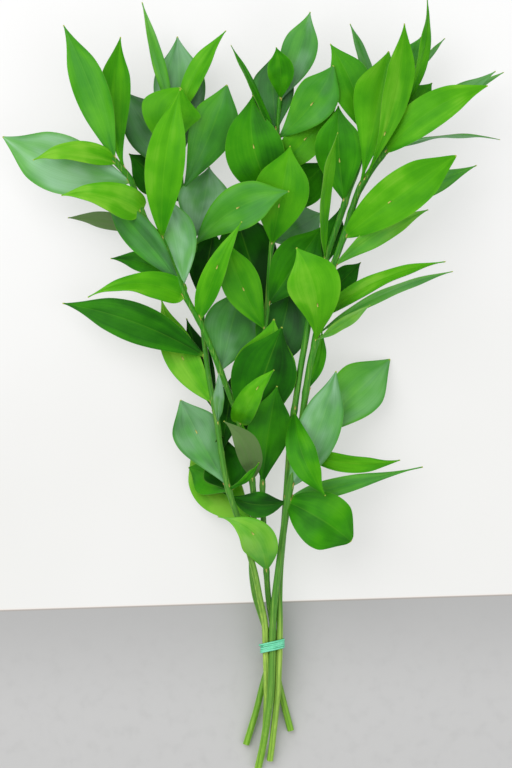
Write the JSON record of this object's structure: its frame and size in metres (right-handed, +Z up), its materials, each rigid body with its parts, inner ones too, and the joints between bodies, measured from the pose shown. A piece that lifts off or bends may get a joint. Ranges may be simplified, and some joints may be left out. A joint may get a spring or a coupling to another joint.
{
  "type": "tied bunch of ruscus stems",
  "caption": "Fresh leafy ruscus stems tied together near their cut ends with a rubber tie, lying flat, with glossy pointed blades fanned out along each stem.",
  "frame": {"origin": "on the surface that the bunch lies on, under the middle of its outline", "axes": "+Y along the bunch, from the cut ends to the leaf tips; +Z up from the surface; +X to the right seen from above with the tips away"},
  "size_m": [0.3765, 0.5785, 0.0769],
  "materials": {
    "ruscus_green": "waxy green leaf, smooth and softly glossy, over fresh green stems",
    "tie_rubber": "satin mint green rubber, wound in close wraps"
  },
  "bodies": {
    "root": {"leafy_stem_left": "ruscus_green", "leafy_stem_inner_left": "ruscus_green", "leafy_stem_middle": "ruscus_green", "leafy_stem_right": "ruscus_green", "leafy_stem_inner_right": "ruscus_green", "rubber_tie": "tie_rubber"}
  },
  "joints": []
}
